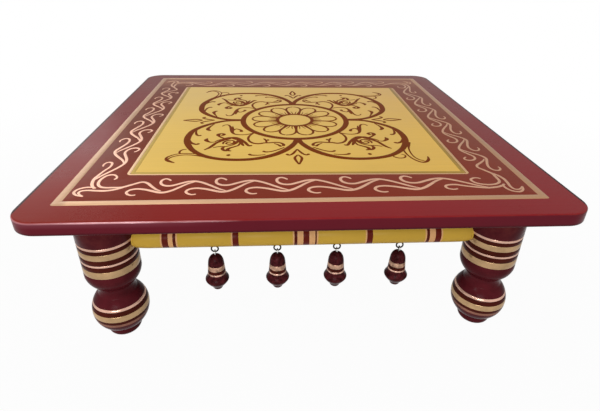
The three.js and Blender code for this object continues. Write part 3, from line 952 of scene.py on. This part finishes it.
SPRAY = [
    [(-128.2, -18.2, 0.8), (-132.6, -27.7, 1.4), (-135.7, -37.1, 2.4), (-135.8, -42.1, 2.8),
     (-132.9, -46.9, 2), (-130, -46, 1.8)],
    [(-151.8, -44.9, 0.8), (-151.8, -54.8, 1.5), (-149.6, -64.3, 1.8), (-145.4, -69, 1.8),
     (-142.2, -66.6, 2.4)],
    [(-157, -83.7, 1), (-153.3, -94.8, 2), (-148.7, -100.5, 2.2), (-143.7, -102.8, 2),
     (-140.5, -99, 2.8)],
    [(-114.9, -29.6, 0.9), (-113.2, -25.1, 1.1), (-109.6, -22.2, 1.2), (-105.6, -23.6, 1.5),
     (-102.7, -29.9, 1.7), (-101.2, -38.2, 1.8), (-99.7, -48.2, 1.8), (-97.2, -56.5, 2),
     (-93.4, -62.8, 1.7), (-86.6, -65.9, 1.4), (-78.8, -65.9, 1.3), (-70.5, -62.8, 1.3),
     (-63.3, -56.5, 1.3)],
    [(-99, -28.8, 0.8), (-97.9, -37.1, 1.5), (-97, -44.9, 1.8), (-97.4, -52.6, 2),
     (-96.3, -58.2, 1.2)],
    [(-96.3, -47.1, 1.2), (-93, -41.3, 1.4), (-88.3, -43.2, 1.4), (-84.6, -47.6, 2),
     (-83.9, -54.3, 3)],
    [(-63.3, -56.5, 1.4), (-69, -66.2, 1.6), (-71.7, -74.8, 1.7), (-72.2, -83.7, 1.7),
     (-69.4, -93.1, 1.8), (-63.8, -99.8, 1.9), (-56.1, -102, 1.9), (-48.9, -99.2, 1.8),
     (-41.1, -98.7, 1.7), (-32.2, -97.2, 1.7), (-25.3, -99.4, 1.8), (-21.1, -105.3, 2.1),
     (-21.7, -111.6, 2.3)],
    [(-45.5, -98.7, 1.2), (-45.8, -91.4, 1.5), (-48.3, -84.2, 1.5), (-50.5, -82.4, 1)],
    [(-43.3, -85.3, 1.6), (-43.1, -90.9, 1.8)],
    [(-35, -100.9, 0.8), (-29.1, -105.9, 1.5), (-24.2, -113.6, 2.3)],
    [(-104.3, -82.6, 2.2), (-110.1, -78.1, 1.8), (-114.9, -72.6, 1.8), (-117.4, -67, 2.8),
     (-116.3, -62.6, 2.4), (-111.9, -60.9, 1.8), (-108.8, -64.3, 2.4), (-111, -68.4, 1.8),
     (-113.6, -66.6, 1.2)],
    [(-131.2, -79.5, 0.8), (-132.7, -85.9, 2.8), (-130.4, -90.9, 2.4), (-125.4, -95, 1.5),
     (-119.8, -94.8, 1.1)],
    [(-119.8, -94.8, 1), (-116.5, -89.2, 1.2), (-111, -84.8, 1.5), (-104.3, -81.5, 1.2)],
    [(-95.2, -77, 2.2), (-101.5, -80.6, 4.2), (-107.6, -86.5, 3.4), (-113.2, -93.1, 2.5),
     (-117.6, -99.2, 2.3), (-120.7, -107, 2.3), (-124.8, -115.8, 2.1), (-130.9, -123.4, 1)],
    [(-98.8, -77, 2.2), (-91.6, -79.8, 4.4), (-84.9, -85.3, 3.8), (-79.7, -91.4, 2.8),
     (-75.5, -98.1, 2.3), (-72.4, -105.3, 2.1), (-69.4, -109.7, 2.1), (-65.3, -107.2, 1.5)],
    [(-84.9, -87, 2.8), (-82.4, -95.9, 2.6), (-79.7, -103.6, 2.1), (-77.1, -110.3, 1)],
    [(-86.6, -88.1, 2.4), (-87.7, -95.9, 2.2), (-90.5, -102.5, 1.7), (-95.4, -107.5, 1.4),
     (-103.2, -111.4, 1.4), (-111.5, -111.7, 1.2), (-119.8, -115.3, 1)],
    [(-106.5, -103.1, 1), (-107, -97, 1.6), (-103.4, -90.9, 1.7), (-97.7, -88.1, 1.5),
     (-92.1, -91.4, 1.5), (-92.3, -98.1, 1.7), (-97.4, -103.1, 1.6), (-102.7, -100.9, 1.3),
     (-101.2, -95.9, 1.3), (-96.1, -94.8, 1.7)],
    [(-103.2, -112, 1.2), (-106.3, -117, 2.1), (-104.8, -123.1, 2.3), (-101.2, -126.7, 1.9),
     (-97.9, -126.9, 1.2)],
    [(-83.5, -99.2, 1.2), (-84.9, -107.5, 1.5), (-90.5, -112.7, 1.7), (-96, -117, 2.1),
     (-98.8, -121.9, 2.5), (-97.1, -126.4, 1.9), (-92.8, -127.2, 1.4)],
    [(-94.6, -138.6, 1.5), (-95.9, -141.9, 2.8), (-95.4, -144.9, 1.4)],
    [(-68.3, -137.5, 2.4), (-66.1, -141.6, 2), (-56.1, -142.7, 1.2), (-46.1, -140.5, 0.9)],
    [(-49.7, -127.5, 1.7), (-47.2, -131.4, 1.9), (-40.5, -131.2, 1.4), (-32.8, -126.9, 1.3),
     (-26.1, -121.4, 1.3), (-20, -115.8, 1)],
]
FLOURISH = [
    [(-136.3, -136.7, 1.2), (-146.2, -135.6, 1.3), (-157.6, -134.9, 1.2), (-167, -138, 1.2),
     (-174.4, -144.7, 1.6), (-176.2, -151.3, 2.1), (-172, -158.5, 2.8), (-162.5, -165, 1)],
    [(-121, -149.7, 1.6), (-130.9, -145.2, 1.5), (-143.1, -140.8, 1.4), (-154.2, -139.7, 1.3),
     (-164.2, -142.5, 1.3), (-170.9, -148, 1.4), (-173.7, -154.1, 1.2)],
    [(-154.4, -120.5, 1), (-159.8, -121.9, 1.4), (-162.7, -127.5, 1.7), (-161.8, -133.6, 1.5),
     (-158.4, -136.4, 1)],
]
# The painter drew the front right one longer and further out
RIGHT_FLOURISH = [
    [(152.5, -108, 2.6), (147.8, -120.3, 2.2), (146.2, -132, 1.8), (147.6, -147.4, 1.6),
     (151.8, -160.8, 1.8), (158.9, -169.6, 2.2), (166, -168.6, 2.8), (171.6, -161, 2.6),
     (173.4, -151, 1)],
    [(162.5, -99, 3), (158.4, -112, 2.6), (155.4, -122.6, 1.6), (153.8, -136, 1.4),
     (154.3, -151.2, 1.4), (158.9, -162, 1.5), (165, -165.2, 1.2)],
    [(127.4, -139.6, 1), (126.2, -149.2, 1.5), (132, -155.8, 1.6), (140.4, -154.8, 1.6),
     (143.6, -147.4, 1.4), (138.6, -142.8, 0.9)],
]
FINIAL_HALF = [
    [(0, -122.5, 1), (-3.5, -131.5, 1.6), (-7.2, -139.2, 1.7), (-12, -143.2, 1.5),
     (-15.5, -138.6, 2.4)],
    [(0, -142, 1), (-4.4, -151, 1.6), (-3.8, -160, 1.6), (0, -173.5, 1)],
]
PETAL_HALF = [
    (-5.2, 28.5, 2.2), (-8.4, 36, 2.3), (-11, 45, 2.1), (-12.4, 54, 2), (-11, 61.8, 1.9),
    (-6.5, 67.7, 1.8), (0, 70.2, 1.6),
]
PETAL_VEIN = [
    (-1.7, 29, 1), (-2.7, 36.5, 0.9), (-5, 43.5, 0.4),
]


def with_mirrored(strokes):
    return [[(way * x, y, w) for x, y, w in stroke] for stroke in strokes for way in (1, -1)]


def round_stroke(radius, width, count):
    angles = [2 * math.pi * k / count for k in range(count)]
    return [(radius * math.cos(a), radius * math.sin(a), width) for a in angles]


def finials_strayed(mesh):
    for vertex in mesh.vertices:
        x, y = vertex.co.x, vertex.co.y
        side = (1 if x > 0 else 3) if abs(x) > abs(y) else (0 if y < 0 else 2)
        vertex.co.x += FINIAL_STRAY[side] * MM


def make_medallion():
    brown = finish("maroon_brush_paint", BRUSH_MAROON, roughness=0.42, clouds_and_reflections=0.4, grain=0.2,
                   specular=0.012)
    base = TOP + PANEL_RISE * MM
    shift = Vector((MEDALLION_SHIFT[0] * MM, MEDALLION_SHIFT[1] * MM, 0))
    petal_turns = {"Count": PETALS, "Turn": 2 * math.pi / PETALS}
    rings = [round_stroke(*LARGE_RING), round_stroke(*SMALL_RING)]
    petal = with_mirrored([PETAL_HALF, PETAL_VEIN])
    for name, tree, strokes, full, extra, turns in (
        ("medallion_rings", None, rings, 1.0, 0.0, None),
        ("medallion_petals", ABOUT_THE_MIDDLE, petal, 2.2, 0.0, petal_turns),
        ("medallion_lobes", FOUR_QUARTERS, LOBE, 0.75, 4.8, None),
        ("medallion_sprays", FOUR_QUARTERS, SPRAY, 2.6, 0.0, None),
        ("corner_flourishes", ABOUT_THE_MIDDLE, FLOURISH, 2.2, 0.0, THREE_TURNS),
        ("finials", ABOUT_THE_MIDDLE, with_mirrored(FINIAL_HALF), 2.7, 0.0, FOUR_TURNS),
        ("front_right_flourish", None, RIGHT_FLOURISH, 1.9, 0.0, None),
    ):
        points, faces = brush_strokes(strokes, base, strokes is rings, full, extra)
        if tree:
            made = grown(name, tree, (points, faces), brown, turns, MEDALLION_SHIFT)
        else:
            made = piece(name, [p + shift for p in points], faces, brown)
        if name == "finials":
            finials_strayed(made.data)
        on_board(made)


# ------------------------ legs

FOOT_RADIUS, FOOT_ROUND, FOOT_HEIGHT = 21 * MM, 7.5 * MM, 11.7 * MM
BALL_RADIUS = 34.9 * MM
NECK_RADIUS, NECK_COVE, NECK_LENGTH = 23.4 * MM, 1.4 * MM, 13.8 * MM
SHOULDER_LENGTH, COLUMN_RADIUS = 14.2 * MM, 33.6 * MM
BALL_CENTRE = FOOT_HEIGHT + math.sqrt(BALL_RADIUS ** 2 - FOOT_RADIUS ** 2)
NECK_BOTTOM = BALL_CENTRE + math.sqrt(BALL_RADIUS ** 2 - NECK_RADIUS ** 2)
NECK_TOP = NECK_BOTTOM + NECK_LENGTH
COLUMN_BOTTOM = NECK_TOP + SHOULDER_LENGTH
COLUMN_ARRIS, COLUMN_GAP, ARRIS_DROP = 0.4 * MM, 0.1 * MM, 0.6 * MM
BALL_STEPS, NECK_STEPS, SHOULDER_STEP = 36, 12, 1.2 * MM
LEG_LOW, LEG_HIGH = 0.0, 0.2
# Gold rings and the dark lines between them, heights in millimetres above the floor. The lowest
# thin ring is painted darker and pinker than the cream ones, as shade where it faces the floor
LEG_RINGS = rings_from(
    (28.7, SHADED_FOOT_PINK, 32.9, DARK_BROWN, 37.8, GOLD, 45.8, DARK_BROWN, 51.8, CREAM_GOLD, 54.9),
    (105.1, GOLD, 114.5, DARK_BROWN, 121.2, CREAM_GOLD, 124.2, DARK_BROWN, 131.1, GOLD,
     138.9, DARK_BROWN, 144.3, CREAM_GOLD, 147.3),
)


def leg_outline():
    outline = [(0, 0)]
    for inwards, up in quarter_round(ROUND_STEPS):
        outline.append((FOOT_RADIUS - FOOT_ROUND * inwards, FOOT_ROUND * up))
    low = math.asin((FOOT_HEIGHT - BALL_CENTRE) / BALL_RADIUS)
    high = math.asin((NECK_BOTTOM - BALL_CENTRE) / BALL_RADIUS)
    for k in range(BALL_STEPS + 1):
        a = low + (high - low) * k / BALL_STEPS
        outline.append((BALL_RADIUS * math.cos(a), BALL_CENTRE + BALL_RADIUS * math.sin(a)))
    for k in range(1, NECK_STEPS + 1):
        share = k / NECK_STEPS
        cove = NECK_COVE * math.sin(math.pi * share)
        outline.append((NECK_RADIUS - cove, NECK_BOTTOM + NECK_LENGTH * share))
    slope = smooth_line([
        (NECK_RADIUS, NECK_TOP),
        (NECK_RADIUS + 5.6 * MM, NECK_TOP + 6.2 * MM),
        (COLUMN_RADIUS - 1.5 * MM, COLUMN_BOTTOM - 2.4 * MM),
        (COLUMN_RADIUS, COLUMN_BOTTOM + 3 * MM),
    ], SHOULDER_STEP)
    outline += [tuple(p) for p in slope[1:]]
    end = UNDERSIDE - COLUMN_GAP
    outline.append((COLUMN_RADIUS, UNDERSIDE - ARRIS_DROP))
    return outline + [(COLUMN_RADIUS - COLUMN_ARRIS, end), (0, end)]


def make_legs():
    where = (2, LEG_LOW, LEG_HIGH)
    # Strong, coarse clouds in this lacquer: painted reflections, dark and light patches as on
    # glossy turned lacquer
    lacquer = finish(
        "leg_lacquer", banded(*where, DARK_MAROON, LEG_RINGS), where_gold(*where, LEG_RINGS),
        roughness=0.20, clouds_and_reflections=1.1, grain=0.3, stretch=ALONG_Z, bump=0.0003, specular=0.022,
        wear=0.2, cloud_scale=45.0,
    )
    outline = scored(leg_outline(), edges_of(LEG_RINGS))
    for node in ("leg_front_left", "leg_front_right", "leg_back_right", "leg_back_left"):
        low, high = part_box(node)
        middle = (low + high) / 2
        place = (middle.x, middle.y, 0)
        made = turned(node + "_turned", outline, LEG_SIDES, lacquer, place, crease=LEG_CREASE)
        settle(made, "table", "leg_lacquer", node)


# ------------------------ rails

RAIL_RADIUS, RAIL_END_RADIUS, RAIL_TAPER = 13.4 * MM, 11.2 * MM, 20 * MM
RAIL_REACH = 0.23
# Painted shade on the rail's underside: how much of the dark it gets, and how high above the rail's
# bottom it fades out
RAIL_SHADE, RAIL_SHADE_HEIGHT = 0.62, 0.55 * RAIL_RADIUS
# Rings along a rail, in millimetres from its middle
RAIL_RINGS = rings_from(
    (-172.6, RAIL_CREAM, -171.3, RAIL_DARK, -163.6, RAIL_CREAM, -158.3, RAIL_LINE, -154.9,
     RAIL_CREAM, -153.2),
    (-90.7, RAIL_CREAM, -89.3, RAIL_DARK, -82.4, RAIL_CREAM, -80.9),
    (-16.6, RAIL_CREAM, -15.3, RAIL_LINE, -12.5, RAIL_CREAM, -5.1, RAIL_DARK, 1.9,
     RAIL_CREAM, 9.1, RAIL_LINE, 11.9, RAIL_CREAM, 13.3),
    (70.8, RAIL_CREAM, 72.3, RAIL_DARK, 79.1, RAIL_CREAM, 80.6),
    (145.4, RAIL_CREAM, 147.0, RAIL_LINE, 150.4, RAIL_CREAM, 157.4, RAIL_DARK, 164.6,
     RAIL_CREAM, 166.0),
)


def rail_outline(free_end, end):
    half = [(RAIL_END_RADIUS, end)]
    for inwards, up in quarter_round(ROUND_STEPS):
        radius = RAIL_RADIUS - (RAIL_RADIUS - RAIL_END_RADIUS) * inwards
        half.append((radius, free_end - RAIL_TAPER * up))
    return [(0, -end)] + [(r, -a) for r, a in half] + half[::-1] + [(0, end)]


def make_rails():
    for side in SIDES:
        low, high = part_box("rail_" + side)
        lengthwise = side in ("front", "back")
        axis = 0 if lengthwise else 1
        rings = RAIL_RINGS
        if side in ("back", "left"):
            rings = [(-b, -a, colour) for a, b, colour in rings[::-1]]
        bands = banded(axis, -RAIL_REACH, RAIL_REACH, RAIL_YELLOW, rings)

        # Painted shade: the rail darker towards its underside
        def painted_shade_below(tree):
            height = parts_of(place_in(tree))[2]
            share = ranged(height, low.z, low.z + RAIL_SHADE_HEIGHT, RAIL_SHADE, 0.0)
            return mixed(share, bands(tree), DARK_BROWN)

        lacquer = finish(
            "rail_lacquer_" + side, painted_shade_below, roughness=0.34, clouds_and_reflections=0.2, grain=0.14,
            stretch=ALONG_X if lengthwise else ALONG_Y, specular=0.07,
        )
        place = (low + high) / 2
        place[axis] = 0
        end = (high - low)[axis] / 2
        outline = rail_outline(LEG_REACH - COLUMN_RADIUS, end)
        outline = scored(outline, edges_of(rings), depth=0.1 * MM, width=0.5 * MM)
        made = turned(f"rail_{side}_turned", outline, RAIL_SIDES, lacquer, place, "XY"[axis])
        settle(made, "table", "rail_lacquer", "rail_" + side)


# ------------------------ bells and screw eyes

BELL_LIP = 14.9 * MM
# Outline from the crown down: share of the lip's radius, share of the length
BELL_OUTLINE = [
    (0.17, 0), (0.4, 0.025), (0.55, 0.083), (0.64, 0.16), (0.69, 0.28), (0.735, 0.43),
    (0.77, 0.52), (0.83, 0.585), (0.93, 0.635), (0.99, 0.67), (1, 0.69), (0.975, 0.722),
    (0.84, 0.785), (0.66, 0.85), (0.54, 0.89), (0.46, 0.925), (0.42, 0.96), (0.34, 0.985),
    (0.2, 1),
]
# Rings down from the crown, in millimetres
BELL_RINGS = rings_from((13.4, BELL_GOLD, 19.7, DARK_BROWN, 24.3, CREAM_GOLD, 26.3))
BELL_MARGIN, BELL_STEP = 5 * MM, 0.7 * MM
RAIL_EYE_RING, BELL_EYE_RING = 4.2 * MM, 3.0 * MM
EYE_WIRE, DRAWN_WIRE = 0.8 * MM, 0.95 * MM
RAIL_EYE_NECK, BELL_EYE_NECK = 0.7 * MM, 0.3 * MM
# A ring is bent from its start through this many degrees, in this many steps
RING_START, RING_BEND, RING_STEPS = 66, 330, 36
# The wire's next points: outside the ring, then past the surface of the wood
NECK_RISES, SHANK_RISES = (0.55 * MM, 1.1 * MM), (2 * MM, 8 * MM)


def eye_wire(centre, ring, across, upward, neck, wire):
    """A screw eye: the wire's end closes against the neck, and the shank runs on into the wood."""
    side = Vector(across).cross(Vector((0, 0, 1)))
    up = Vector((0, 0, upward))
    line = []
    for k in range(RING_STEPS + 1):
        a = math.radians(RING_START - RING_BEND * k / RING_STEPS)
        line.append(Vector(centre) + ring * (math.cos(a) * side + math.sin(a) * up))
    reach = ring + EYE_WIRE + neck
    for rise in [ring + r for r in NECK_RISES] + [reach + r for r in SHANK_RISES]:
        line.append(Vector(centre) + rise * up)
    return swept(line, wire, WIRE_SIDES, Vector(across))


def bell_parts():
    """The outline of a bell, hanging from 0, and its lacquer."""
    low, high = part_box("bell_front_1")
    crown, length = high.z, high.z - low.z
    rings = [(crown - b, crown - a, colour) for a, b, colour in BELL_RINGS[::-1]]
    where = (2, crown - length - BELL_MARGIN, crown + BELL_MARGIN)
    # Strong, fine clouds in this lacquer: painted reflections, dark and light patches on the glossy
    # bells
    lacquer = finish(
        "bell_lacquer", banded(*where, BELL_MAROON, rings), where_gold(*where, rings),
        roughness=0.22, clouds_and_reflections=3.2, grain=0.5, stretch=ALONG_Z, bump=0.0002, specular=0.022,
        wear=0.1, cloud_scale=230.0,
    )
    curve = smooth_line([(r * BELL_LIP, -s * length) for r, s in BELL_OUTLINE], BELL_STEP)
    outline = [(0, 0)] + [(p.x, min(p.y, 0.0)) for p in curve] + [(0, -length)]
    edges = [edge - crown for edge in edges_of(rings)]
    return scored(outline[::-1], edges, depth=0.18 * MM, width=0.6 * MM), lacquer


def make_hangings():
    steel = finish("dull_steel", DULL_STEEL, roughness=0.40, clouds_and_reflections=0.5, grain=0.2,
                   stretch=NO_GRAIN, bump=0.00003, specular=0.03)
    bright = finish("bright_steel", BRIGHT_STEEL, metallic=1.0, roughness=0.30, clouds_and_reflections=0.5,
                    grain=0.2, stretch=NO_GRAIN, bump=0.00003)
    outline, lacquer = bell_parts()
    for side in SIDES:
        lengthwise, crosswise = Vector((1, 0, 0)), Vector((0, 1, 0))
        if side in ("right", "left"):
            lengthwise, crosswise = crosswise, lengthwise
        for number in range(1, BELLS_A_SIDE + 1):
            body = f"{side}_bell_{number}"
            node = f"bell_{side}_{number}"
            low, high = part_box(node)
            middle = (low + high) / 2
            place = (middle.x, middle.y, high.z)
            made = turned(node + "_turned", outline, BELL_SIDES, lacquer, place, crease=BELL_CREASE)
            settle(made, body, "bell_lacquer", node)
            eye = f"bell_eye_{side}_{number}"
            centre = (middle.x, middle.y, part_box(eye)[1].z - BELL_EYE_RING - EYE_WIRE)
            wire = eye_wire(centre, BELL_EYE_RING, lengthwise, -1, BELL_EYE_NECK, EYE_WIRE)
            settle(piece(eye + "_wire", *wire, bright, WIRE_CREASE), body, "eye_steel", eye)
            eye = f"rail_eye_{side}_{number}"
            centre = (middle.x, middle.y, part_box(eye)[0].z + RAIL_EYE_RING + EYE_WIRE)
            wire = eye_wire(centre, RAIL_EYE_RING, crosswise, 1, RAIL_EYE_NECK, DRAWN_WIRE)
            settle(piece(eye + "_wire", *wire, steel, WIRE_CREASE), "table", "eye_steel", eye)


# ------------------------ studio

WORLD_LIGHT = 0.42
FLOOR_HALF, FLOOR_GREY = 6, (0.4, 0.4, 0.4, 1)
# The floor's own white: how much of it near the table, and from where on it is all of it
FLOOR_WHITE, SHADOW_FROM, SHADOW_TO = 0.965, 0.45, 1.1


def seen_directly(tree):
    """1 for what the camera sees directly, in a gloss or through glass."""
    path = add(tree, "ShaderNodeLightPath").outputs
    straight = maths("MAXIMUM", path["Is Camera Ray"], path["Is Glossy Ray"])
    return maths("MAXIMUM", straight, path["Is Transmission Ray"])


def make_world():
    world = bpy.data.worlds.new("studio")
    bpy.context.scene.world = world
    world.use_nodes = True
    tree = world.node_tree
    white = tree.nodes["Background"]
    white.inputs["Color"].default_value = WHITE
    white.inputs["Strength"].default_value = 1.0
    soft = add(tree, "ShaderNodeBackground", {"Color": WHITE, "Strength": WORLD_LIGHT})
    shaders = {0: seen_directly(tree), 1: soft.outputs[0], 2: white.outputs[0]}
    mix = then("ShaderNodeMixShader", shaders)[0]
    fill(tree.nodes["World Output"].inputs["Surface"], mix)


def make_floor():
    material = bpy.data.materials.new("floor_white")
    material.use_nodes = True
    tree = material.node_tree
    tree.nodes.remove(tree.nodes["Principled BSDF"])
    away = then("ShaderNodeVectorMath", {0: place_in(tree)}, operation="LENGTH")["Value"]
    share = ranged(away, SHADOW_FROM, SHADOW_TO, FLOOR_WHITE, 1.0)
    matt = add(tree, "ShaderNodeBsdfDiffuse", {"Color": FLOOR_GREY})
    bright = add(tree, "ShaderNodeEmission", {"Color": WHITE, "Strength": 1.0})
    factor = maths("MULTIPLY", seen_directly(tree), share)
    mix = then("ShaderNodeMixShader", {0: factor, 1: matt.outputs[0], 2: bright.outputs[0]})[0]
    fill(tree.nodes["Material Output"].inputs["Surface"], mix)
    mesh = bpy.data.meshes.new("floor")
    corners = [(x * FLOOR_HALF, y * FLOOR_HALF, 0) for x, y in ((-1, -1), (1, -1), (1, 1), (-1, 1))]
    mesh.from_pydata(corners, [], [(0, 1, 2, 3)])
    mesh.materials.append(material)
    floor = in_scene("floor", mesh)


make_camera()
make_world()
make_floor()
for lamp in LAMPS:
    soft_lamp(*lamp)
view = bpy.context.scene.view_settings
view.view_transform = "Standard"
make_board()
make_lines()
make_scroll()
make_medallion()
make_legs()
make_rails()
make_hangings()
